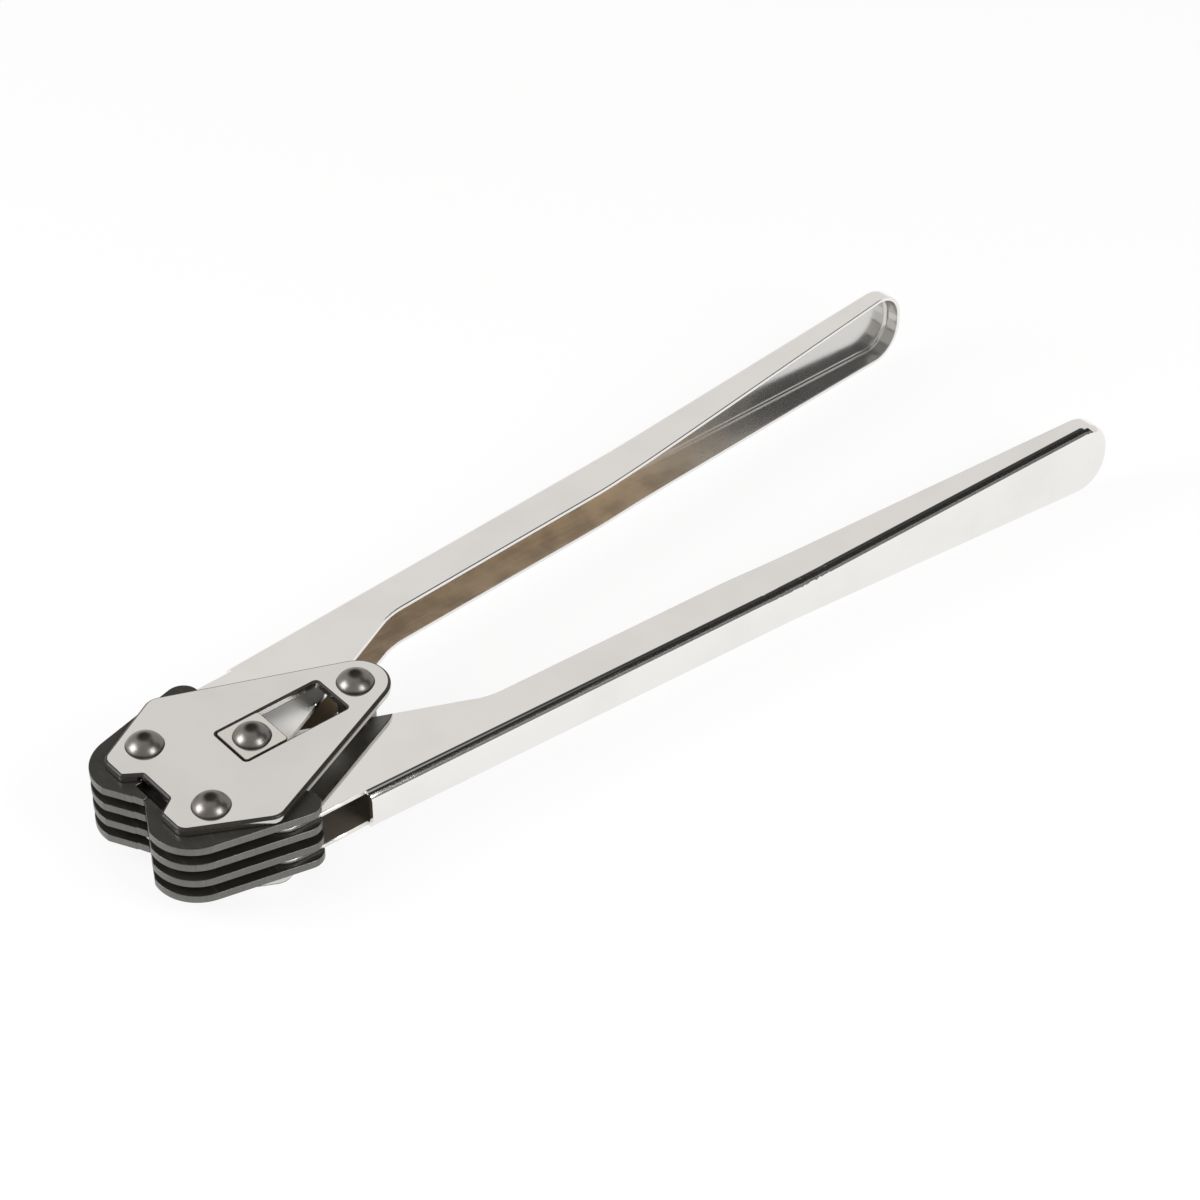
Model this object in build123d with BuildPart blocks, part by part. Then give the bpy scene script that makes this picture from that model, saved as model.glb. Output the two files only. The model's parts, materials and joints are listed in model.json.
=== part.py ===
from build123d import *
from math import cos, radians, sin, tan
import os

# Hand strapping sealer: two pressed channel handles work a pair of laminated jaws
# through a sliding centre pin, between two riveted cheek plates.
# Frame: +X runs from the jaws to the grips, +Z up through the cheeks, the tool lies flat.
# The origin is under the middle of the tool, level with the lowest rivet heads.

# Overall sizes
overall_length = 325.5
jaw_spread = 31.0
pivot_to_centre = 24.0
pivot_to_rear = 58.5

# Sheet and plate thicknesses, and the room between sliding layers
cheek_thickness = 2.4
jaw_thickness = 2.55
handle_sheet = 1.4
layer_clearance = 0.1
pin_clearance = 0.05

# Rivets, pins and the rings on them
rivet_diameter = 6.6
rivet_head_diameter = 10.8
rivet_head_height = 3.3
spacer_diameter = 10.6
link_pin_diameter = 6.0
link_play = 1.5
link_setback = 16.5
link_spread = 46.0

# Cheek plates and the guide blocks in their windows
cheek_front_setback = 5.1
cheek_front_width = 36.4
cheek_shoulder_setback = 28.5
cheek_shoulder_width = 61.6
cheek_tail_radius = 9.7
cheek_corner_radius = 4.0
cheek_shoulder_radius = 5.0
cheek_edge_chamfer = 0.6
notch_floor_width = 12.0
notch_mouth_width = 18.8
notch_corner_radius = 0.8
notch_mouth_radius = 1.5
window_length = 33.8
window_width = 14.6
window_corner_radius = 1.0
window_chamfer = 0.4
guide_length = 14.0
guide_clearance = 0.15

# Jaws
seat_setback = 10.0
anvil_radius = 7.0
jaw_nose_radius = 13.4
jaw_nose_spread = 26.6
jaw_link_radius = 6.5
jaw_tail_radius = 5.0
jaw_tail_setback = 37.2
jaw_tail_spread = 55.8
jaw_vee_depth = 6.0
jaw_vee_half_width = 11.4
jaw_tip_gap = 0.3
jaw_tip_thickness = 1.6
bite_width = 12.4
jaw_hub_inside = 14.0

# Handles
web_to_rear = 20.0
web_half_gap = 34.7
splay_angle = 3.3
bend_radius = 2.8
flange_width = 14.0
crotch_angle = 25.0
crotch_radius = 25.0
hub_radius = 6.4
link_ear_radius = 7.2
taper_setback = 112.0
shank_length = 127.0
shank_height = 14.2
grip_height = 25.2
grip_lip = 6.7
grip_end_radius = 11.0
taper_radius = 200.0
swell_radius = 600.0

# Places along and across the tool
jaw_front_x = -overall_length / 2
grip_end_x = overall_length / 2
seat_x = jaw_front_x + seat_setback
jaw_pivot_x = seat_x + anvil_radius
jaw_pivot_y = jaw_spread / 2
centre_x = jaw_pivot_x + pivot_to_centre
rear_x = jaw_pivot_x + pivot_to_rear
link_x = jaw_pivot_x + link_setback
link_y = link_spread / 2
web_front_x = rear_x - web_to_rear

# Levels up the stack, from the middle of the head
slot_height = 2 * handle_sheet + 3 * layer_clearance
jaw_pitch = jaw_thickness + slot_height
jaw_levels = [(1.5 - row) * jaw_pitch for row in range(4)]
slot_levels = [(1 - row) * jaw_pitch for row in range(3)]
stack_half = jaw_levels[0] + jaw_thickness / 2 + layer_clearance
head_half = stack_half + cheek_thickness
middle_z = head_half + rivet_head_height
channel_level = (handle_sheet + layer_clearance) / 2
channel_height = 2 * jaw_pitch + handle_sheet
flange_level = channel_level + channel_height / 2 - handle_sheet
slot_top = slot_levels[0] + slot_height / 2

# Radii of pins and of the holes they run in
rivet_radius = rivet_diameter / 2
rivet_hole = rivet_radius + pin_clearance
link_radius = link_pin_diameter / 2
link_hole = link_radius + pin_clearance
spacer_radius = spacer_diameter / 2

os.makedirs("parts", exist_ok=True)


def save(part, name):
    """Label a finished piece and write it to its own file."""
    part.label = name
    export_step(part, f"parts/{name}.step")


def level(height):
    """Horizontal plane at a height above the middle of the head."""
    return Plane.XY.offset(middle_z + height)


def turned_over(part):
    """The same piece turned over about the tool's long axis."""
    return part.rotate(Axis((0, 0, middle_z), (1, 0, 0)), 180)


def corners_at(x):
    """Corners of the sketch in work within a millimetre of a place along the tool."""
    return vertices().filter_by_position(Axis.X, x - 1, x + 1)


def round_rivet(x, y):
    """Pin through the whole head with a round head at each end."""
    head_radius = rivet_head_diameter / 2
    ball_radius = (head_radius**2 + rivet_head_height**2) / (2 * rivet_head_height)
    crown = head_half + rivet_head_height
    ball_z = crown - ball_radius
    arc_x = ball_radius * sin(radians(35))
    arc_z = ball_z + ball_radius * cos(radians(35))
    with BuildPart() as rivet:
        with BuildSketch(Plane((x, y, middle_z), x_dir=(1, 0, 0), z_dir=(0, -1, 0))):
            with BuildLine():
                Line((0, -crown), (0, crown))
                ThreePointArc((0, crown), (arc_x, arc_z), (head_radius, head_half))
                Polyline(
                    (head_radius, head_half),
                    (rivet_radius, head_half),
                    (rivet_radius, -head_half),
                    (head_radius, -head_half),
                )
                ThreePointArc((head_radius, -head_half), (arc_x, -arc_z), (0, -crown))
            make_face()
        revolve(axis=Axis((x, y, 0), (0, 0, 1)))
    return rivet.part


def ring(x, y, low, high, outer, bore):
    """Plain ring or pin about an upright axis, between two levels of the stack."""
    with BuildPart() as tube:
        with BuildSketch(level(low)):
            with Locations((x, y)):
                Circle(outer)
                if bore > 0:
                    Circle(bore, mode=Mode.SUBTRACT)
        extrude(amount=high - low)
    return tube.part


def cheek():
    """Top cheek plate: notched nose, wide shoulders, a window and a tail round the rear rivet."""
    front_x = jaw_front_x + cheek_front_setback
    shoulder_x = jaw_front_x + cheek_shoulder_setback
    half_front = cheek_front_width / 2
    half_shoulder = cheek_shoulder_width / 2
    window_x = centre_x - guide_length / 2 - guide_clearance + window_length / 2
    with BuildPart() as plate:
        with BuildSketch(level(stack_half)):
            with BuildLine():
                Polyline(
                    (front_x, -half_front),
                    (shoulder_x, -half_shoulder),
                    (shoulder_x, half_shoulder),
                    (front_x, half_front),
                    close=True,
                )
                CenterArc((rear_x, 0), cheek_tail_radius, 0, 360)
            make_hull()
            fillet(corners_at(front_x), cheek_corner_radius)
            fillet(corners_at(shoulder_x), cheek_shoulder_radius)
            with BuildLine():
                Polyline(
                    (front_x, notch_mouth_width / 2),
                    (seat_x, notch_floor_width / 2),
                    (seat_x, -notch_floor_width / 2),
                    (front_x, -notch_mouth_width / 2),
                    close=True,
                )
            make_face(mode=Mode.SUBTRACT)
            fillet(corners_at(seat_x), notch_corner_radius)
            mouth = corners_at(front_x).filter_by_position(Axis.Y, -notch_floor_width, notch_floor_width)
            fillet(mouth, notch_mouth_radius)
            with Locations((window_x, 0)):
                RectangleRounded(window_length, window_width, window_corner_radius, mode=Mode.SUBTRACT)
            with Locations((jaw_pivot_x, jaw_pivot_y), (jaw_pivot_x, -jaw_pivot_y), (rear_x, 0)):
                Circle(rivet_hole, mode=Mode.SUBTRACT)
        extrude(amount=cheek_thickness)
        chamfer(faces().sort_by(Axis.Z)[-1].outer_wire().edges(), cheek_edge_chamfer)
        window = faces().sort_by(Axis.Z)[-1].inner_wires().sort_by(SortBy.LENGTH)[-1]
        chamfer(window.edges(), window_chamfer)
    return plate.part


def guide_block():
    """Upper guide block: slides in the window under the centre pin's head, on a round boss."""
    with BuildPart() as block:
        with BuildSketch(level(stack_half)):
            with Locations((centre_x, 0)):
                RectangleRounded(guide_length, window_width - 2 * guide_clearance, window_corner_radius)
        extrude(amount=cheek_thickness)
        with BuildSketch(level(slot_top)):
            with Locations((centre_x, 0)):
                Circle(spacer_radius)
        extrude(amount=stack_half - slot_top)
        with BuildSketch(level(slot_top)):
            with Locations((centre_x, 0)):
                Circle(rivet_hole)
        extrude(amount=head_half - slot_top, mode=Mode.SUBTRACT)
    return block.part


def anvil(middle):
    """Plate between two jaw layers on both jaw rivets: its front edge backs the seal."""
    half_thickness = slot_height / 2 - layer_clearance
    with BuildPart() as plate:
        with BuildSketch(level(middle - half_thickness)):
            with Locations((jaw_pivot_x, 0)):
                SlotCenterToCenter(jaw_spread, 2 * anvil_radius, rotation=90)
            with Locations((jaw_pivot_x, jaw_pivot_y), (jaw_pivot_x, -jaw_pivot_y)):
                Circle(rivet_hole, mode=Mode.SUBTRACT)
        extrude(amount=2 * half_thickness)
    return plate.part


def jaw_plate(middle):
    """One far jaw plate: round nose, hooked tip, hub on the rivet and a tail for the link pin."""
    vee_x = jaw_front_x + jaw_vee_depth
    tip_y = jaw_tip_gap / 2
    hub_x = seat_x + pivot_to_rear
    ahead_x = jaw_front_x - jaw_nose_radius
    with BuildPart() as plate:
        with BuildSketch(level(middle - jaw_thickness / 2)):
            with BuildLine():
                CenterArc((jaw_front_x + jaw_nose_radius, jaw_nose_spread / 2), jaw_nose_radius, 0, 360)
                CenterArc((link_x, link_y), jaw_link_radius, 0, 360)
                CenterArc((jaw_front_x + jaw_tail_setback, jaw_tail_spread / 2), jaw_tail_radius, 0, 360)
            make_hull()
            with BuildLine():
                Polyline(
                    (vee_x + jaw_tip_thickness, tip_y),
                    (vee_x, tip_y),
                    (jaw_front_x, jaw_nose_spread / 2),
                    (jaw_front_x + jaw_nose_radius, jaw_nose_spread / 2),
                    close=True,
                )
            make_face()
            with BuildLine():
                Polyline(
                    (vee_x, tip_y),
                    (jaw_front_x, jaw_vee_half_width),
                    (ahead_x, jaw_vee_half_width),
                    (ahead_x, -jaw_nose_radius),
                    (vee_x, -jaw_nose_radius),
                    close=True,
                )
            make_face(mode=Mode.SUBTRACT)
            with BuildLine():
                Polyline(
                    (vee_x + jaw_tip_thickness, -jaw_nose_radius),
                    (vee_x + jaw_tip_thickness, bite_width / 2),
                    (seat_x, bite_width / 2),
                    (seat_x, jaw_hub_inside / 2),
                    (hub_x, jaw_hub_inside / 2),
                    (hub_x, -jaw_nose_radius),
                    close=True,
                )
            make_face(mode=Mode.SUBTRACT)
            with Locations((jaw_pivot_x, jaw_pivot_y)):
                Circle(rivet_hole, mode=Mode.SUBTRACT)
            with Locations((link_x, link_y)):
                Circle(link_hole, mode=Mode.SUBTRACT)
        extrude(amount=jaw_thickness)
    return plate.part


def web_y(x):
    """Outer face of the far handle's web at a place along the tool."""
    return web_half_gap + tan(radians(splay_angle)) * (x - rear_x)


def crotch_y(x):
    """Inner edge of the far handle's flanges from the hub to the shank."""
    return tan(radians(crotch_angle)) * (x - centre_x) - hub_radius / cos(radians(crotch_angle))


def channel_form(plan, rounds, inset):
    """Block under a plan outline with rounded corners, to the side profile brought in by an inset."""
    half_shank = shank_height / 2 - inset
    half_grip = grip_height / 2 - inset
    front_x = min(x for x, y in plan)
    end_x = max(x for x, y in plan)
    shank_end_x = rear_x + shank_length
    swell = (shank_height - channel_height) / 2 / (shank_end_x - web_front_x)
    half_front = channel_height / 2 - inset + swell * (front_x - web_front_x)
    upper = [
        (front_x, half_front),
        (shank_end_x, half_shank),
        (end_x, half_grip),
    ]
    lower = [(x, -height) for x, height in reversed(upper)]
    with BuildPart() as form:
        with BuildSketch(level(channel_level)):
            with BuildLine():
                Polyline(*plan, close=True)
            make_face()
            for x, radius in rounds:
                fillet(corners_at(x), radius)
        extrude(amount=grip_height, both=True)
        with BuildSketch(Plane.XZ.shift_origin((0, 0, middle_z + channel_level))):
            with BuildLine():
                Polyline(*upper, *lower, close=True)
            make_face()
            fillet(corners_at(end_x), grip_end_radius - inset)
            fillet(corners_at(shank_end_x), swell_radius)
        extrude(amount=2 * web_half_gap, both=True, mode=Mode.INTERSECT)
        web = faces().filter_by(lambda face: face.normal_at().Y > 0.9).sort_by(SortBy.AREA)[-1]
        fillet(web.edges().filter_by(lambda edge: edge.center().X > front_x + 1), bend_radius - inset)
    return form.part


def handle():
    """Far handle: pressed channel, open to the inside, with two flat ears in front."""
    crotch_rise = web_y(centre_x) - flange_width - crotch_y(centre_x)
    shank_x = centre_x + crotch_rise / (tan(radians(crotch_angle)) - tan(radians(splay_angle)))
    taper_x = rear_x + taper_setback
    core_x = grip_end_x - handle_sheet
    wall = handle_sheet / cos(radians(splay_angle))
    plan = [
        (web_front_x, crotch_y(web_front_x)),
        (shank_x, crotch_y(shank_x)),
        (taper_x, web_y(taper_x) - flange_width),
        (grip_end_x, web_y(grip_end_x) - grip_lip),
        (grip_end_x, web_y(grip_end_x)),
        (web_front_x, web_y(web_front_x)),
    ]
    core_front = web_front_x - bend_radius
    core_plan = [
        (core_front, -web_half_gap),
        (core_x, -web_half_gap),
        (core_x, web_y(core_x) - wall),
        (core_front, web_y(core_front) - wall),
    ]
    outer = channel_form(plan, [(shank_x, crotch_radius), (taper_x, taper_radius)], 0)
    core = channel_form(core_plan, [], handle_sheet)
    with BuildPart() as channel:
        add(outer)
        add(core, mode=Mode.SUBTRACT)
        for base in (flange_level, flange_level - channel_height + handle_sheet):
            with BuildSketch(level(base)):
                with BuildLine():
                    Polyline(
                        (web_front_x, crotch_y(web_front_x + bend_radius)),
                        (web_front_x + bend_radius, crotch_y(web_front_x + bend_radius)),
                        (web_front_x + bend_radius, web_y(web_front_x) - bend_radius),
                        (web_front_x, web_y(web_front_x) - bend_radius),
                        close=True,
                    )
                    CenterArc((centre_x, 0), hub_radius, 0, 360)
                    CenterArc((link_x, link_y), link_ear_radius, 0, 360)
                make_hull()
                with Locations((centre_x, 0)):
                    Circle(rivet_hole, mode=Mode.SUBTRACT)
                with Locations((link_x, link_y)):
                    Circle(link_radius + link_play, mode=Mode.SUBTRACT)
            extrude(amount=handle_sheet)
    return channel.part


# Head: cheeks, rivets, spacer and anvil plates
top_plate = cheek()
save(top_plate, "top_plate")
save(turned_over(top_plate), "bottom_plate")
save(round_rivet(jaw_pivot_x, -jaw_pivot_y), "near_jaw_rivet")
save(round_rivet(jaw_pivot_x, jaw_pivot_y), "far_jaw_rivet")
save(round_rivet(rear_x, 0), "rear_rivet")
save(ring(rear_x, 0, -stack_half, stack_half, spacer_radius, rivet_hole), "rear_spacer")
for slot, name in zip(slot_levels, ("upper", "middle", "lower")):
    save(anvil(slot), f"{name}_anvil_plate")

# Centre pin with its guide blocks and spacer
inner_face = jaw_levels[1] + jaw_thickness / 2
upper_block = guide_block()
save(round_rivet(centre_x, 0), "centre_pin")
save(upper_block, "upper_guide_block")
save(turned_over(upper_block), "lower_guide_block")
save(ring(centre_x, 0, -inner_face, inner_face, spacer_radius, rivet_hole), "centre_spacer")

# Jaws: four plates each, the link pin and the rings beside the handle's ears
jaw_top = stack_half - layer_clearance
slot_half = slot_height / 2 - layer_clearance
washer_bases = (slot_top - slot_height + layer_clearance, layer_clearance - slot_top)
far_washers = Compound(
    children=[
        ring(link_x, link_y, base, base + handle_sheet, spacer_radius, link_hole) for base in washer_bases
    ]
)
for row, middle in enumerate(jaw_levels):
    far_plate = jaw_plate(middle)
    save(far_plate, f"far_jaw_plate_{row + 1}")
    save(far_plate.mirror(Plane.XZ), f"near_jaw_plate_{row + 1}")
for side, name in ((1, "far"), (-1, "near")):
    save(ring(link_x, side * link_y, -jaw_top, jaw_top, link_radius, 0), f"{name}_link_pin")
    save(ring(link_x, side * link_y, -slot_half, slot_half, spacer_radius, link_hole), f"{name}_link_spacer")
save(far_washers, "far_link_washers")
save(turned_over(far_washers), "near_link_washers")

# Handles: the same pressing, turned over for the near side
far_handle = handle()
save(far_handle, "far_handle")
save(turned_over(far_handle), "near_handle")
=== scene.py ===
"""Hand strapping sealer: finishes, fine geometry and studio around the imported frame.

Sizes are in metres and angles in radians, in the frame's own axes.
"""

import json
import logging
import math
from dataclasses import dataclass
from enum import Enum
from typing import Any, Callable, Optional, Sequence, Union

import bmesh
import bpy
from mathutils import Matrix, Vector

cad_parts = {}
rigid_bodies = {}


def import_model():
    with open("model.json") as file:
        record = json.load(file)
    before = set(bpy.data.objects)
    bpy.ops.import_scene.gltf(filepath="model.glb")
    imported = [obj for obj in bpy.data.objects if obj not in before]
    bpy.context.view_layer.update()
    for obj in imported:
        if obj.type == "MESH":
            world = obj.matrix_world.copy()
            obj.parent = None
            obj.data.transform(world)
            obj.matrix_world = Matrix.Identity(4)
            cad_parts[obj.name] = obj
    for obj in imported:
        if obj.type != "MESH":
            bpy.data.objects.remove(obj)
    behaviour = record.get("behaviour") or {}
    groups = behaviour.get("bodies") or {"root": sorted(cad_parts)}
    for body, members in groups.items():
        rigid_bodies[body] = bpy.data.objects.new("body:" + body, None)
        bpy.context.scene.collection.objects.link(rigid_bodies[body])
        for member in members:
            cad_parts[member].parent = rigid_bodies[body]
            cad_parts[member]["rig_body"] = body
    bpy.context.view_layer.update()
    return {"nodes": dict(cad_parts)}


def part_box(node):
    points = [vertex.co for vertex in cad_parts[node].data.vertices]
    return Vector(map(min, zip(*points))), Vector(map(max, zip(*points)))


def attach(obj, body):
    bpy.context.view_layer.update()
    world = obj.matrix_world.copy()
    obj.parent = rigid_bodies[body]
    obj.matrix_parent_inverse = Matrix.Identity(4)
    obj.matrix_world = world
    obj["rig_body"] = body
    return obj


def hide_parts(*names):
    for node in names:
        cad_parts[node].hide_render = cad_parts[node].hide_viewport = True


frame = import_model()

LOG = logging.getLogger("sealer")
NOISE_MEAN = 0.5

Colour = tuple[float, float, float]
Place = tuple[float, float, float]
Span = tuple[float, float]


class Socket:
    """An output socket with arithmetic: each operation adds a Math node to the same tree."""

    def __init__(self, graph: "Graph", link: Optional[bpy.types.NodeSocket]) -> None:
        """Wrap an output socket of a graph."""
        self.graph = graph
        self.link = link

    def _math(self, operation: str, first: "Value", second: "Value" = 0.0) -> "Socket":
        """The result of one Math node."""
        return self.graph.node("ShaderNodeMath", {"operation": operation}, {0: first, 1: second})

    def __add__(self, other: "Value") -> "Socket":
        """Sum."""
        return self._math("ADD", self, other)

    def __radd__(self, other: "Value") -> "Socket":
        """Sum with the number first."""
        return self._math("ADD", other, self)

    def __sub__(self, other: "Value") -> "Socket":
        """Difference."""
        return self._math("SUBTRACT", self, other)

    def __rsub__(self, other: "Value") -> "Socket":
        """Difference with the number first."""
        return self._math("SUBTRACT", other, self)

    def __mul__(self, other: "Value") -> "Socket":
        """Product."""
        return self._math("MULTIPLY", self, other)

    def __rmul__(self, other: "Value") -> "Socket":
        """Product with the number first."""
        return self._math("MULTIPLY", other, self)

    def __abs__(self) -> "Socket":
        """Absolute value."""
        return self._math("ABSOLUTE", self)

    def clamped(self) -> "Socket":
        """The value held between 0 and 1."""
        return self.graph.node("ShaderNodeClamp", {}, {"Value": self})

    def between(self, low: float, high: float) -> "Socket":
        """A smooth step.

        Args:
            low: Value at which the step starts.
            high: Value at which it is complete.

        Returns:
            0 below the step, 1 above it.
        """
        return self.graph.node(
            "ShaderNodeMapRange",
            {"interpolation_type": "SMOOTHSTEP"},
            {"Value": self, "From Min": low, "From Max": high},
        )


Value = Union[Socket, float]


@dataclass(frozen=True)
class Grain:
    """A fractal noise: features per metre, octaves, and a scale along each axis."""

    scale: float
    detail: float
    stretch: Place = (1.0, 1.0, 1.0)


def shade(colour: Colour, level: float) -> Colour:
    """A colour made darker or paler."""
    return tuple(level * channel for channel in colour)


class Graph:
    """The node tree of one material or world."""

    def __init__(self, tree: bpy.types.NodeTree) -> None:
        """Empty a tree to build in."""
        self.tree = tree
        tree.nodes.clear()

    def node(
        self,
        kind: str,
        settings: dict[str, Any],
        sockets: dict[Union[int, str], Any],
        output: Union[int, str] = 0,
    ) -> Socket:
        """Add a node.

        Args:
            kind: Blender's node type.
            settings: Properties, set before the sockets.
            sockets: Values or links by socket name or index.
            output: The output that the result stands for.

        Returns:
            The chosen output as a socket.
        """
        made = self.tree.nodes.new(kind)
        for name, value in settings.items():
            setattr(made, name, value)
        for key, value in sockets.items():
            if isinstance(value, Socket):
                self.tree.links.new(value.link, made.inputs[key])
            else:
                made.inputs[key].default_value = value
        return Socket(self, made.outputs[output] if made.outputs else None)

    def place(self) -> Socket:
        """Object coordinates."""
        return self.node("ShaderNodeTexCoord", {}, {}, "Object")

    def axis(self, name: str) -> Socket:
        """One of the object coordinates."""
        return self.node("ShaderNodeSeparateXYZ", {}, {"Vector": self.place()}, name)

    def vector(self, operation: str, first: Any, second: Any, output: str = "Vector") -> Socket:
        """The result of one Vector Math node."""
        return self.node(
            "ShaderNodeVectorMath", {"operation": operation}, {0: first, 1: second}, output
        )

    def radius(self, centre: Span) -> Socket:
        """Distance from an upright line.

        Args:
            centre: Where the line stands.

        Returns:
            The distance.
        """
        offset = self.vector("SUBTRACT", self.place(), (*centre, 0.0))
        level = self.vector("MULTIPLY", offset, (1.0, 1.0, 0.0))
        return self.vector("LENGTH", level, (0.0, 0.0, 0.0), "Value")

    def noise(self, grain: Grain) -> Socket:
        """Fractal noise over the object.

        Args:
            grain: Its scale and character.

        Returns:
            The noise, about NOISE_MEAN on average.
        """
        place = self.node("ShaderNodeMapping", {}, {"Vector": self.place(), "Scale": grain.stretch})
        return self.node(
            "ShaderNodeTexNoise", {}, {"Vector": place, "Scale": grain.scale, "Detail": grain.detail}
        )

    def blend(self, mask: Value, first: Union[Socket, Colour], second: Union[Socket, Colour]) -> Socket:
        """Mix two colours.

        Args:
            mask: 0 gives the first, 1 the second.
            first: Colour or socket.
            second: Colour or socket.

        Returns:
            The colour.
        """
        first_value, second_value = (
            colour if isinstance(colour, Socket) else (*colour, 1.0) for colour in (first, second)
        )
        sockets = {0: mask, 6: first_value, 7: second_value}
        return self.node("ShaderNodeMix", {"data_type": "RGBA"}, sockets, 2)

    def tones(self, mask: Value, tone: Colour, spread: Span) -> Socket:
        """Shades of one tone, from the darkest where the mask is 0 to the palest where it is 1."""
        return self.blend(mask, shade(tone, spread[0]), shade(tone, spread[1]))

    def bump(self, height: Socket, depth: float) -> Socket:
        """The normal bumped by a height map, in which 1 stands for the depth."""
        return self.node("ShaderNodeBump", {}, {"Height": height, "Distance": depth})

    def metal(
        self, colour: Socket, roughness: Value, normal: Socket, bare: Value = 1.0, shine: float = 0.5
    ) -> None:
        """End the tree in a metal surface.

        Args:
            colour: The colour.
            roughness: Roughness or socket.
            normal: The bumped normal.
            bare: 1 for bare metal, less where a film or scale covers it.
            shine: Specular level of the film or scale.
        """
        surface = self.node(
            "ShaderNodeBsdfPrincipled",
            {},
            {
                "Base Color": colour,
                "Metallic": bare,
                "Roughness": roughness,
                "Normal": normal,
                "Specular IOR Level": shine,
            },
        )
        self.node("ShaderNodeOutputMaterial", {}, {"Surface": surface})


class Finish:
    """A named surface finish that makes its material once."""

    name: str
    _made: dict[str, bpy.types.Material] = {}

    def paint(self, graph: Graph) -> None:
        """Build the finish's nodes."""
        raise NotImplementedError

    def material(self) -> bpy.types.Material:
        """The finish's material, made on first use."""
        if self.name not in Finish._made:
            made = bpy.data.materials.new(self.name)
            made.use_nodes = True
            self.paint(Graph(made.node_tree))
            Finish._made[self.name] = made
        return Finish._made[self.name]


@dataclass(frozen=True)
class PolishedNickel(Finish):
    """Nickel plate polished to a mirror, with faint smears, hairlines and a slow waviness.

    Where it is rubbed, the ears that slide on each other under the head are hazy.
    """

    name: str = "polished_nickel"
    light: Colour = (0.785, 0.77, 0.755)
    dull: Colour = (0.75, 0.735, 0.715)
    rubbed: float = 0.0
    gloss: float = 0.05
    smears: Grain = Grain(48.0, 4.0)
    smear_span: Span = (0.40, 0.75)
    smear_haze: float = 0.035
    hairlines: Grain = Grain(900.0, 2.0, (0.05, 1.0, 1.0))
    hairline_span: Span = (0.6, 0.75)
    hairline_haze: float = 0.03
    hairline_depth: float = 0.02
    waves: Grain = Grain(30.0, 1.0)
    wave_depth: float = 0.00003
    ear_rear: Span = (-0.104, -0.098)
    ear_side: Span = (0.010, 0.013)
    ear_haze: float = 0.4
    ear_film: float = 0.6

    def paint(self, graph: Graph) -> None:
        """Build the finish's nodes."""
        smears = graph.noise(self.smears).between(*self.smear_span)
        hairlines = graph.noise(self.hairlines).between(*self.hairline_span)
        behind = graph.axis("X").between(*self.ear_rear)
        beside = abs(graph.axis("Y")).between(*self.ear_side)
        ears = self.rubbed * (1.0 - behind) * (1.0 - beside)
        haze = self.smear_haze * smears + self.hairline_haze * hairlines + self.ear_haze * ears
        height = graph.noise(self.waves) - self.hairline_depth * hairlines
        graph.metal(
            graph.blend(smears, self.light, self.dull),
            self.gloss + haze,
            graph.bump(height, self.wave_depth),
            1.0 - self.ear_film * ears,
        )


@dataclass(frozen=True)
class OiledSteel(Finish):
    """The unpolished inside of a handle: brown with old oil, plated grey at the grip.

    Under the head the colour is darkened with painted shade, which reaches furthest along at the bottom
    of the channel.
    """

    name: str = "oiled_steel"
    brown: Colour = (0.555, 0.46, 0.342)
    spread: Span = (0.76, 1.22)
    grey: Colour = (0.66, 0.65, 0.635)
    # painted shade for the inside under the head
    dark: Colour = (0.20, 0.18, 0.145)
    stains: Grain = Grain(90.0, 5.0)
    rolling: Grain = Grain(700.0, 2.0, (0.06, 1.0, 1.0))
    stain_share: float = 0.75
    mottle_span: Span = (0.34, 0.66)
    head_span: Span = (-0.104, -0.092)
    pool_level: float = 0.016
    pool_slope: float = 2.5
    grip_span: Span = (0.03, 0.115)
    grip_wander: float = 0.05
    gloss: float = 0.34
    stain_haze: float = 0.10
    grip_polish: float = 0.22
    relief: float = 0.000003
    grip_smoothness: float = 0.95
    bare: float = 0.5
    grip_bare: float = 0.45

    def paint(self, graph: Graph) -> None:
        """Build the finish's nodes."""
        along = graph.axis("X")
        stains = graph.noise(self.stains)
        rolled = graph.noise(self.rolling)
        grip = (along + self.grip_wander * (stains - NOISE_MEAN)).between(*self.grip_span)
        mottle = self.stain_share * stains + (1.0 - self.stain_share) * rolled
        oil = graph.tones(mottle.between(*self.mottle_span), self.brown, self.spread)
        worn = graph.blend(grip, oil, self.grey)
        # painted shade under the head, reaching further along lower in the channel
        shade_depth = along + self.pool_slope * (graph.axis("Z") - self.pool_level)
        height = (rolled + stains) * (1.0 - self.grip_smoothness * grip)
        graph.metal(
            graph.blend(shade_depth.between(*self.head_span), self.dark, worn),
            self.gloss + self.stain_haze * stains - self.grip_polish * grip,
            graph.bump(height, self.relief),
            self.bare + self.grip_bare * grip,
        )


@dataclass(frozen=True)
class BlackOxide(Finish):
    """Blackened plate with a soft gloss, a little rubbed."""

    name: str = "black_oxide"
    tone: Colour = (0.024, 0.022, 0.019)
    spread: Span = (0.7, 1.4)
    mottle: Grain = Grain(170.0, 4.0)
    rubs: Grain = Grain(1500.0, 2.0, (1.0, 0.1, 1.0))
    rub_span: Span = (0.58, 0.8)
    rub_share: float = 0.5
    rub_level: float = 3.0
    gloss: float = 0.24
    haze: float = 0.12
    relief: float = 0.000008
    shine: float = 0.22

    def paint(self, graph: Graph) -> None:
        """Build the finish's nodes."""
        mottle = graph.noise(self.mottle)
        rubs = graph.noise(self.rubs).between(*self.rub_span)
        black = graph.tones(mottle, self.tone, self.spread)
        colour = graph.blend(self.rub_share * rubs, black, shade(self.tone, self.rub_level))
        normal = graph.bump(mottle + rubs, self.relief)
        graph.metal(colour, self.gloss + self.haze * mottle, normal, 0.0, self.shine)


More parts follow.
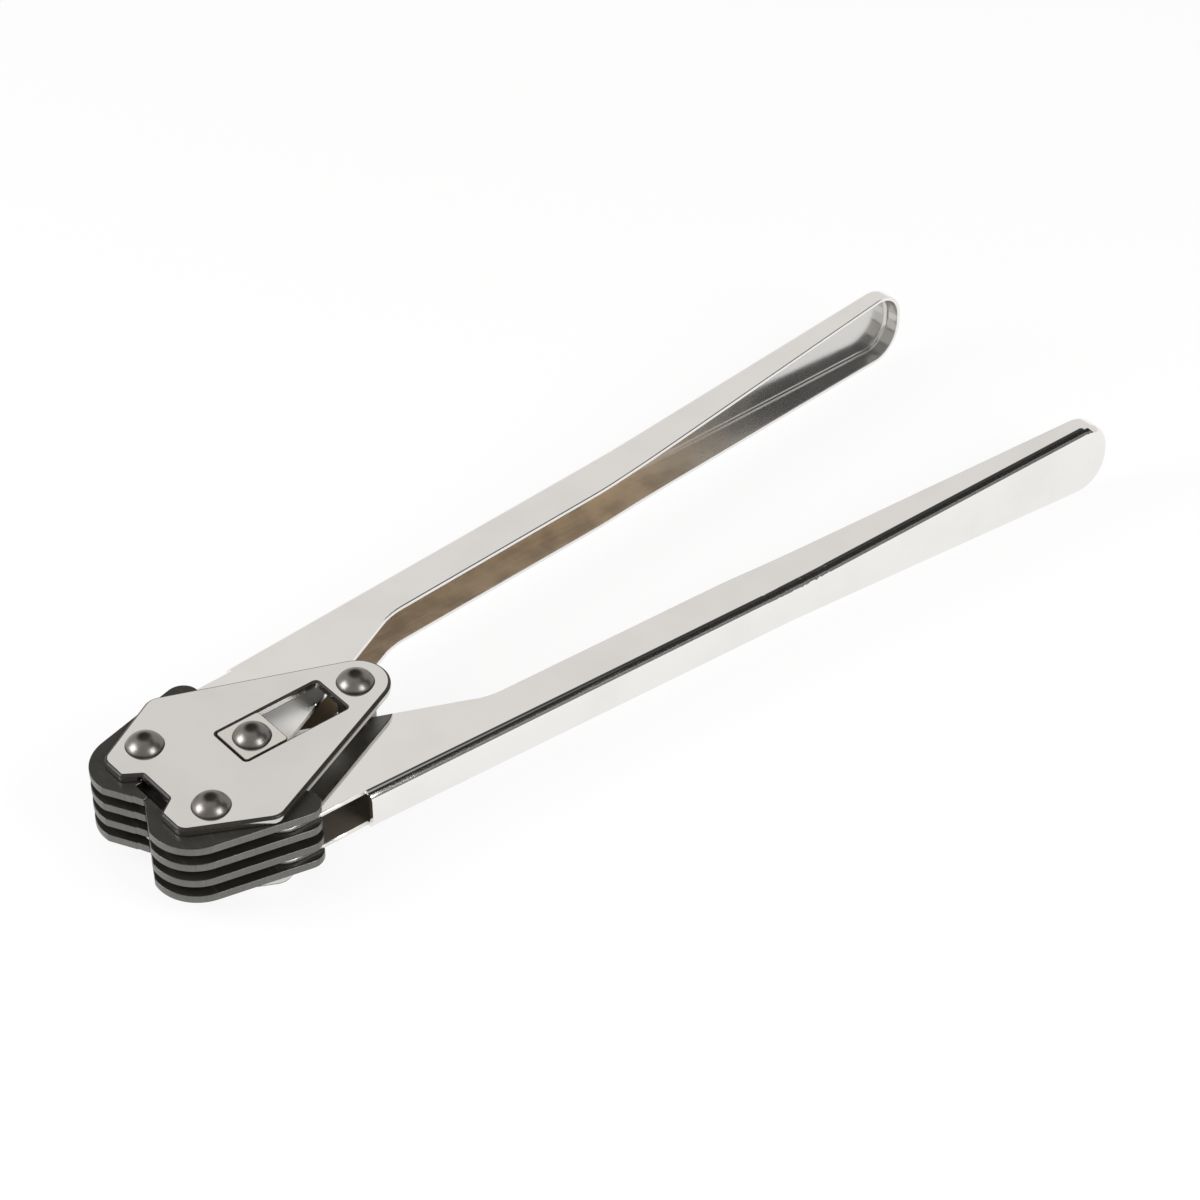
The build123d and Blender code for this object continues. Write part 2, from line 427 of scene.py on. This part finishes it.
@dataclass(frozen=True)
class GroundEdge(Finish):
    """The sawn and ground edge of a hard plate, with grinding lines across it."""

    name: str = "ground_edge"
    tone: Colour = (0.195, 0.189, 0.179)
    spread: Span = (0.72, 1.28)
    grind: Grain = Grain(2600.0, 2.0, (1.0, 1.0, 0.06))
    patches: Grain = Grain(120.0, 3.0)
    patch_share: float = 0.5
    patch_level: float = 0.6
    gloss: float = 0.30
    haze: float = 0.14
    relief: float = 0.00002

    def paint(self, graph: Graph) -> None:
        """Build the finish's nodes."""
        grind = graph.noise(self.grind)
        patches = graph.noise(self.patches)
        lines = graph.tones(grind, self.tone, self.spread)
        colour = graph.blend(self.patch_share * patches, lines, shade(self.tone, self.patch_level))
        graph.metal(colour, self.gloss + self.haze * patches, graph.bump(grind, self.relief))


@dataclass(frozen=True)
class PlainSteel(Finish):
    """Turned or rolled steel in one tone, with mottling and fine lines."""

    name: str
    tone: Colour
    gloss: float
    mottling: float = 0.2
    mottle: Grain = Grain(260.0, 4.0)
    mottle_haze: float = 0.08
    lines: Grain = Grain(1800.0, 2.0, (1.0, 1.0, 0.15))
    line_haze: float = 0.04
    relief: float = 0.000004

    def paint(self, graph: Graph) -> None:
        """Build the finish's nodes."""
        mottle = graph.noise(self.mottle)
        lines = graph.noise(self.lines)
        colour = graph.tones(mottle, self.tone, (1.0 - self.mottling, 1.0 + self.mottling))
        roughness = self.gloss + self.mottle_haze * mottle + self.line_haze * lines
        graph.metal(colour, roughness, graph.bump(lines + mottle, self.relief))


@dataclass(frozen=True)
class RivetSteel(Finish):
    """Turned steel round one axis, with a painted dark reflection in the setting mark and painted shade
    round the foot of each head.
    """

    name: str
    centre: Span
    tone: Colour = (0.205, 0.193, 0.182)
    spread: Span = (0.82, 1.18)
    # painted dark: the reflection in the setting mark and the shade round the foot
    dirt: Colour = (0.014, 0.012, 0.010)
    dirt_share: float = 0.9
    mark: Span = (0.0010, 0.0027)
    foot: Span = (0.0049, 0.0054)
    wander: float = 0.0004
    mottle: Grain = Grain(260.0, 4.0)
    gloss: float = 0.29
    mottle_haze: float = 0.06
    dirt_haze: float = 0.2
    relief: float = 0.000004

    def paint(self, graph: Graph) -> None:
        """Build the finish's nodes."""
        mottle = graph.noise(self.mottle)
        out = graph.radius(self.centre) + self.wander * (mottle - NOISE_MEAN)
        # painted dark reflection in the crown's mark and painted shade round the foot
        painted_dark_mask = (1.0 - out.between(*self.mark) + out.between(*self.foot)).clamped()
        steel = graph.tones(mottle, self.tone, self.spread)
        colour = graph.blend(self.dirt_share * painted_dark_mask, steel, self.dirt)
        roughness = self.gloss + self.mottle_haze * mottle + self.dirt_haze * painted_dark_mask
        graph.metal(colour, roughness, graph.bump(mottle, self.relief))


BLACK = BlackOxide()
INNER = PlainSteel("inner_steel", (0.22, 0.21, 0.20), 0.32)


class PlateFace(Enum):
    """The faces of a cheek plate, with their finishes."""

    OUTSIDE = PolishedNickel()
    # painted dark reflection: the plate's rounded rim gets the black finish
    RIM = BLACK
    WALL = PlainSteel("plate_edge", (0.62, 0.61, 0.59), 0.10, 0.08)
    # painted shade: the plates' inner faces are darkened so that their reflections look shaded
    INSIDE = PlainSteel("dull_steel", (0.20, 0.20, 0.19), 0.36)


class BlockFace(Enum):
    """The faces of a guide block, with their finishes."""

    BODY = PlainSteel("guide_steel", (0.76, 0.735, 0.69), 0.07, 0.06)
    # painted shade and dark reflection: the block's rim gets the black finish
    RIM = BLACK


class JawFace(Enum):
    """The faces of a jaw plate, with their finishes."""

    FLAT = BLACK
    EDGE = GroundEdge()


class SheetFace(Enum):
    """The faces of a handle's sheet, with their finishes."""

    OUTSIDE = PolishedNickel("handle_nickel", (0.86, 0.845, 0.825), (0.825, 0.81, 0.79), 1.0)
    INSIDE = OiledSteel()
    CUT = PlainSteel("sheet_edge", (0.80, 0.775, 0.73), 0.34)


class Side(Enum):
    """The two halves of the tool, as the camera sees them."""

    NEAR = -1
    FAR = 1

    @property
    def word(self) -> str:
        """The side's name as the frame's pieces spell it."""
        return self.name.lower()


def dress(node: str, finish: Finish) -> None:
    """Give a piece of the frame its finish.

    Args:
        node: The piece's name.
        finish: The finish for all of it.
    """
    slots = frame["nodes"][node].data.materials
    slots.clear()
    slots.append(finish.material())
    LOG.info("%s: %s", node, finish.name)


def stand_in(
    shape: bmesh.types.BMesh, node: str, ending: str, finishes: Sequence[Finish]
) -> bpy.types.Object:
    """Put a shape in the place of a piece of the frame.

    Args:
        shape: The shape, which is used up.
        node: The frame piece's name.
        ending: What is added to it for the new piece's name.
        finishes: The finishes in the order of the faces' numbers.

    Returns:
        The new piece.
    """
    name = f"{node}_{ending}"
    mesh = bpy.data.meshes.new(name)
    shape.to_mesh(mesh)
    shape.free()
    if "custom_normal" in mesh.attributes:
        mesh.attributes.remove(mesh.attributes["custom_normal"])
    for finish in finishes:
        mesh.materials.append(finish.material())
    piece = bpy.data.objects.new(name, mesh)
    bpy.context.scene.collection.objects.link(piece)
    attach(piece, frame["nodes"][node]["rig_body"])
    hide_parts(node)
    LOG.info("%s: %s", name, ", ".join(finish.name for finish in finishes))
    return piece


@dataclass
class EasedPiece:
    """A piece of the frame made again with eased edges and a finish for each kind of face."""

    node: str
    slot: str
    kinds: type[Enum]
    easing: float
    rim: Optional[Enum] = None
    sharp_stretch: Span = (0.0, 0.0)
    segments: int = 2
    weld: float = 2e-6
    flatness: float = math.radians(0.05)
    sharpness: float = math.radians(33.0)

    def build(self, pick: Callable[[bmesh.types.BMFace], Enum]) -> None:
        """Make the piece and put it in the frame piece's place.

        Args:
            pick: Gives a face's kind.
        """
        kinds = list(self.kinds)
        shape = bmesh.new()
        shape.from_mesh(frame["nodes"][self.node].data)
        bmesh.ops.remove_doubles(shape, verts=shape.verts[:], dist=self.weld)
        bmesh.ops.dissolve_limit(
            shape, angle_limit=self.flatness, verts=shape.verts[:], edges=shape.edges[:]
        )
        for face in shape.faces:
            face.smooth = True
            face.material_index = kinds.index(pick(face))
        weight = shape.edges.layers.float.new("bevel_weight_edge")
        for edge in shape.edges:
            eased = self._is_eased(edge)
            edge[weight] = float(eased)
            edge.smooth = eased or edge.calc_face_angle(0.0) <= self.sharpness
        piece = stand_in(shape, self.node, "eased", [kind.value for kind in kinds])
        self._ease(piece, -1 if self.rim is None else kinds.index(self.rim))

    def _is_eased(self, edge: bmesh.types.BMEdge) -> bool:
        """Whether an edge is rounded.

        Args:
            edge: An edge of the piece.

        Returns:
            True for a sharp edge outside the stretch that stays sharp.
        """
        low, high = self.sharp_stretch
        held = any(low < corner.co.x < high for corner in edge.verts)
        return not held and edge.calc_face_angle(0.0) > self.sharpness

    def _ease(self, piece: bpy.types.Object, rim: int) -> None:
        """Round the sharp edges and keep the flat faces' shading flat.

        Args:
            piece: The piece to work on.
            rim: Number of the rounded edges' finish, or -1 for that of the faces beside them.
        """
        bevel = piece.modifiers.new("easing", "BEVEL")
        bevel.width = self.easing
        bevel.segments = self.segments
        bevel.limit_method = "WEIGHT"
        bevel.use_clamp_overlap = False
        bevel.material = rim
        shading = piece.modifiers.new("flat_faces", "WEIGHTED_NORMAL")
        shading.keep_sharp = True


@dataclass
class DomedRivet:
    """A rivet of the frame turned again, with the setting tool's mark in the crown of each head."""

    node: str
    shank_radius: float = 0.0033
    head_height: float = 0.0033
    mark_radius: float = 0.0020
    mark_depth: float = 0.00045
    edge_turn: float = math.radians(72.0)
    dome_steps: int = 14
    mark_steps: int = 5
    sides: int = 64
    weld: float = 1e-7
    sharpness: float = math.radians(40.0)

    def build(self) -> None:
        """Turn the rivet and put it in the frame piece's place."""
        low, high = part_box(self.node)
        middle = (low + high) / 2
        shape = bmesh.new()
        half = self._profile((high.x - low.x) / 2, (high.z - low.z) / 2)
        corners = [shape.verts.new((r, 0.0, z)) for r, z in half]
        corners += [shape.verts.new((r, 0.0, -z)) for r, z in reversed(half)]
        line = [shape.edges.new(pair) for pair in zip(corners, corners[1:])]
        bmesh.ops.spin(
            shape,
            geom=corners + line,
            axis=(0.0, 0.0, 1.0),
            cent=(0.0, 0.0, 0.0),
            angle=math.tau,
            steps=self.sides,
            use_merge=True,
        )
        bmesh.ops.remove_doubles(shape, verts=shape.verts[:], dist=self.weld)
        bmesh.ops.recalc_face_normals(shape, faces=shape.faces[:])
        bmesh.ops.translate(shape, verts=shape.verts[:], vec=middle)
        for face in shape.faces:
            face.smooth = True
        for edge in shape.edges:
            edge.smooth = edge.calc_face_angle(0.0) < self.sharpness
        finish = RivetSteel(f"{self.node}_steel", (middle.x, middle.y))
        stand_in(shape, self.node, "turned", [finish])

    def _profile(self, head_radius: float, half_height: float) -> list[Span]:
        """The upper half of the rivet's outline.

        Args:
            head_radius: Radius of the heads.
            half_height: Half of the rivet's height.

        Returns:
            Radius and height of each point, from the crown to the shank.
        """
        across = head_radius / math.sin(self.edge_turn)
        upright = self.head_height / (1.0 - math.cos(self.edge_turn))
        lip = math.asin(self.mark_radius / across)
        rest = (self.edge_turn - lip) / self.dome_steps
        turns = [lip * step / self.mark_steps for step in range(self.mark_steps)]
        turns += [lip + rest * step for step in range(self.dome_steps + 1)]
        points: list[Span] = []
        for turn in turns:
            sunk = self.mark_depth * (1.0 + math.cos(math.pi * min(turn / lip, 1.0))) / 2
            height = half_height - upright * (1.0 - math.cos(turn)) - sunk
            points.append((across * math.sin(turn), height))
        points.append((self.shank_radius, half_height - self.head_height))
        return points


@dataclass
class Head:
    """Cheek plates, jaw and rear rivets, rear spacer and anvil plates."""

    plate_easing: float = 0.00022
    level_from: float = 0.9
    upright_below: float = 0.3

    def build(self) -> None:
        """Make the cheek plates, bright outside, with painted shade inside and a painted dark
        reflection at the rim, and the rivets.
        """
        for name, outward in (("top_plate", 1.0), ("bottom_plate", -1.0)):
            EasedPiece(name, "plated_plate", PlateFace, self.plate_easing, PlateFace.RIM).build(
                lambda face: self._kind_of(face.normal.z * outward)
            )
        for name in ("near_jaw_rivet", "far_jaw_rivet", "rear_rivet"):
            DomedRivet(name).build()

    def _kind_of(self, outward: float) -> PlateFace:
        """The kind of a plate's face.

        Args:
            outward: How far its normal points out of the head.

        Returns:
            The kind.
        """
        if abs(outward) > self.level_from:
            return PlateFace.OUTSIDE if outward > 0.0 else PlateFace.INSIDE
        return PlateFace.WALL if abs(outward) < self.upright_below else PlateFace.RIM

    def dress(self) -> None:
        """Finish what lies between the plates."""
        for name in ("upper_anvil_plate", "middle_anvil_plate", "lower_anvil_plate"):
            dress(name, BLACK)
        dress("rear_spacer", INNER)


@dataclass
class Centre:
    """Centre pin, its guide blocks in the windows and its spacer."""

    block_easing: float = 0.00025

    def build(self) -> None:
        """Make the pin and its two guide blocks, with painted shade and dark reflection at the rim."""
        DomedRivet("centre_pin").build()
        for name in ("upper_guide_block", "lower_guide_block"):
            EasedPiece(name, "guide_steel", BlockFace, self.block_easing, BlockFace.RIM).build(
                lambda face: BlockFace.BODY
            )

    def dress(self) -> None:
        """Finish the pin's spacer."""
        dress("centre_spacer", INNER)


@dataclass
class Jaw:
    """One jaw: four plates on a link pin, with the rings between them."""

    side: Side
    plate_count: int = 4
    plate_easing: float = 0.00032
    level_from: float = 0.7

    def build(self) -> None:
        """Make the plates: black faces and ground edges."""
        for row in range(self.plate_count):
            name = f"{self.side.word}_jaw_plate_{row + 1}"
            EasedPiece(name, "blackened_jaw", JawFace, self.plate_easing).build(self._kind_of)

    def _kind_of(self, face: bmesh.types.BMFace) -> JawFace:
        """The kind of a jaw plate's face."""
        return JawFace.FLAT if abs(face.normal.z) > self.level_from else JawFace.EDGE

    def dress(self) -> None:
        """Finish the link pin and its rings."""
        for name in ("link_pin", "link_spacer", "link_washers"):
            dress(f"{self.side.word}_{name}", INNER)


@dataclass
class Handle:
    """One pressed handle: mirror bright outside, brown with oil inside the channel."""

    side: Side
    middle_z: float = 0.01555
    side_shift: float = 0.00075
    rim_easing: float = 0.0003
    rear_x: float = -0.08725
    web_half_gap: float = 0.0347
    splay: float = math.radians(3.3)
    flange_half: float = 0.007
    web_front: Span = (-0.1125, -0.1025)
    ear_from: float = -0.1078
    upright_below: float = 0.3

    def build(self) -> None:
        """Make the handle with eased sheet edges."""
        EasedPiece(
            f"{self.side.word}_handle",
            "plated_handle",
            SheetFace,
            self.rim_easing,
            sharp_stretch=self.web_front,
        ).build(self._kind_of)

    def _kind_of(self, face: bmesh.types.BMFace) -> SheetFace:
        """The kind of a handle's face.

        Args:
            face: A face of the handle.

        Returns:
            The kind.
        """
        if face.calc_center_median().x < self.ear_from and abs(face.normal.z) < self.upright_below:
            return SheetFace.CUT
        return SheetFace.INSIDE if self._faces_inward(face) else SheetFace.OUTSIDE

    def _faces_inward(self, face: bmesh.types.BMFace) -> bool:
        """Whether a face looks into the channel.

        Args:
            face: A face of the handle.

        Returns:
            True where it looks at the channel's middle line.
        """
        middle = face.calc_center_median()
        web = self.web_half_gap + math.tan(self.splay) * (middle.x - self.rear_x)
        channel_y = self.side.value * (web - self.flange_half)
        channel_z = self.middle_z + self.side.value * self.side_shift
        inward = Vector((0.0, channel_y - middle.y, channel_z - middle.z))
        return face.normal.dot(inward) > 0.0


@dataclass(frozen=True)
class Softbox:
    """A square area lamp: where it hangs, the length of its sides and its power in watts."""

    name: str
    place: Place
    size: float
    power: float

    def hang(self, target: Place) -> None:
        """Hang the lamp.

        Args:
            target: The point that it is aimed at.
        """
        lamp = bpy.data.lights.new(self.name, "AREA")
        lamp.size = self.size
        lamp.energy = self.power
        box = bpy.data.objects.new(self.name, lamp)
        box.location = self.place
        box.rotation_mode = "QUATERNION"
        box.rotation_quaternion = (Vector(target) - Vector(self.place)).to_track_quat("-Z", "Y")
        bpy.context.scene.collection.objects.link(box)


@dataclass(frozen=True)
class SideCard:
    """A grey card bent round the right of the near handle, for its long dark reflection.

    It runs from its low to its high angle above the floor. Only reflections see it.
    """

    name: str
    low: float
    high: float
    grey: float
    axis_y: float = -0.04
    axis_z: float = 0.02
    radius: float = 0.30
    length: float = 0.60
    steps: int = 12

    def stand(self) -> None:
        """Stand the card in the studio."""
        corners: list[Place] = []
        for step in range(self.steps + 1):
            turn = self.low + (self.high - self.low) * step / self.steps
            y = self.axis_y - self.radius * math.cos(turn)
            z = self.axis_z + self.radius * math.sin(turn)
            corners += [(0.0, y, z), (self.length, y, z)]
        faces = [(2 * k, 2 * k + 1, 2 * k + 3, 2 * k + 2) for k in range(self.steps)]
        paint = bpy.data.materials.new(self.name)
        paint.use_nodes = True
        graph = Graph(paint.node_tree)
        matt = graph.node("ShaderNodeBsdfDiffuse", {}, {"Color": (*[self.grey] * 3, 1.0)})
        graph.node("ShaderNodeOutputMaterial", {}, {"Surface": matt})
        card = stage_piece(self.name, corners, faces, paint)
        card.visible_camera = False
        card.visible_diffuse = False
        card.visible_shadow = False


def stage_piece(
    name: str, corners: Sequence[Place], faces: Sequence[Sequence[int]], paint: bpy.types.Material
) -> bpy.types.Object:
    """Make a piece of the studio.

    Args:
        name: Its name.
        corners: Its corners.
        faces: Its faces as corner numbers.
        paint: Its material.

    Returns:
        The piece.
    """
    mesh = bpy.data.meshes.new(name)
    mesh.from_pydata(corners, [], faces)
    mesh.materials.append(paint)
    piece = bpy.data.objects.new(name, mesh)
    bpy.context.scene.collection.objects.link(piece)
    LOG.info("%s: %s", name, paint.name)
    return piece


@dataclass
class Studio:
    """Floor, soft lights, dark cards and the camera."""

    azimuth: float = math.radians(-40.172)
    elevation: float = math.radians(39.16)
    distance: float = 0.91965
    lens: float = 95.76
    sensor_width: float = 36.0
    target: Place = (-0.003405, -0.004327, 0.01525)
    floor_size: float = 8.0
    floor_grey: float = 0.9
    floor_glow: float = 0.86
    wall_tint: Colour = (1.0, 0.985, 0.965)
    back_level: float = 0.80
    front_level: float = 0.55
    wall_span: Span = (-0.5, 0.3)
    away: Place = (0.645, 0.764, 0.0)
    ceiling_level: float = 0.05
    ceiling_right: Span = (0.10, 0.32)
    ceiling_foot: Span = (0.71, 0.78)
    ceiling_top: Span = (0.88, 0.97)
    softboxes: tuple[Softbox, ...] = (
        Softbox("left_softbox", (-0.77, 0.41, 0.48), 0.50, 5.5),
        Softbox("right_softbox", (0.115, -0.72, 0.516), 0.46, 4.5),
    )
    cards: tuple[SideCard, ...] = (
        SideCard("upper_card", math.radians(36.0), math.radians(80.0), 0.03),
        SideCard("lower_card", math.radians(2.0), math.radians(36.0), 0.19),
    )

    def build(self) -> None:
        """Make the whole studio."""
        bpy.context.scene.view_settings.view_transform = "Standard"
        self._floor()
        self._world()
        for softbox in self.softboxes:
            softbox.hang(self.target)
        for card in self.cards:
            card.stand()
        self._camera()

    def _camera(self) -> None:
        """Place the camera at the photograph's angle."""
        back = Vector(
            (
                math.sin(self.azimuth) * math.cos(self.elevation),
                -math.cos(self.azimuth) * math.cos(self.elevation),
                math.sin(self.elevation),
            )
        )
        lens = bpy.data.cameras.new("camera")
        lens.lens = self.lens
        lens.sensor_width = self.sensor_width
        camera = bpy.data.objects.new("camera", lens)
        camera.location = Vector(self.target) + back * self.distance
        camera.rotation_mode = "QUATERNION"
        camera.rotation_quaternion = (-back).to_track_quat("-Z", "Y")
        bpy.context.scene.collection.objects.link(camera)
        bpy.context.scene.camera = camera

    def _floor(self) -> None:
        """Lay a plain white floor that keeps a soft shadow."""
        half = self.floor_size / 2
        corners = [(-half, -half, 0.0), (half, -half, 0.0), (half, half, 0.0), (-half, half, 0.0)]
        paint = bpy.data.materials.new("floor_paint")
        paint.use_nodes = True
        graph = Graph(paint.node_tree)
        matt = graph.node("ShaderNodeBsdfDiffuse", {}, {"Color": (*[self.floor_grey] * 3, 1.0)})
        white = graph.node(
            "ShaderNodeEmission", {}, {"Color": (1.0, 1.0, 1.0, 1.0), "Strength": 1.0}
        )
        camera_ray = graph.node("ShaderNodeLightPath", {}, {}, "Is Camera Ray")
        glossy_ray = graph.node("ShaderNodeLightPath", {}, {}, "Is Glossy Ray")
        through_ray = graph.node("ShaderNodeLightPath", {}, {}, "Is Transmission Ray")
        seen = (camera_ray + glossy_ray + through_ray).clamped() * self.floor_glow
        surface = graph.node("ShaderNodeMixShader", {}, {0: seen, 1: matt, 2: white})
        graph.node("ShaderNodeOutputMaterial", {}, {"Surface": surface})
        stage_piece("floor", corners, [(0, 1, 2, 3)], paint)

    def _world(self) -> None:
        """Set pale walls all round, with a dark band of ceiling high on the right."""
        world = bpy.data.worlds.new("sky")
        bpy.context.scene.world = world
        world.use_nodes = True
        graph = Graph(world.node_tree)
        direction = graph.node("ShaderNodeTexCoord", {}, {}, "Generated")
        right = graph.node("ShaderNodeSeparateXYZ", {}, {"Vector": direction}, "X")
        height = graph.node("ShaderNodeSeparateXYZ", {}, {"Vector": direction}, "Z")
        band = height.between(*self.ceiling_foot) * (1.0 - height.between(*self.ceiling_top))
        ceiling = right.between(*self.ceiling_right) * band
        away = graph.vector("DOT_PRODUCT", direction, self.away, "Value")
        walls = graph.blend(
            away.between(*self.wall_span),
            shade(self.wall_tint, self.front_level),
            shade(self.wall_tint, self.back_level),
        )
        colour = graph.blend(ceiling, walls, (self.ceiling_level,) * 3)
        sky = graph.node("ShaderNodeBackground", {}, {"Color": colour, "Strength": 1.0})
        graph.node("ShaderNodeOutputWorld", {}, {"Surface": sky})


def main() -> None:
    """Build and dress the tool and set it in the studio."""
    logging.basicConfig(level=logging.INFO)
    jaws = [Jaw(side) for side in Side]
    handles = [Handle(side) for side in Side]
    dressed = (Head(), Centre(), *jaws)
    for group in (*dressed, *handles):
        group.build()
    for group in dressed:
        group.dress()
    Studio().build()


if __name__ == "__main__":
    main()
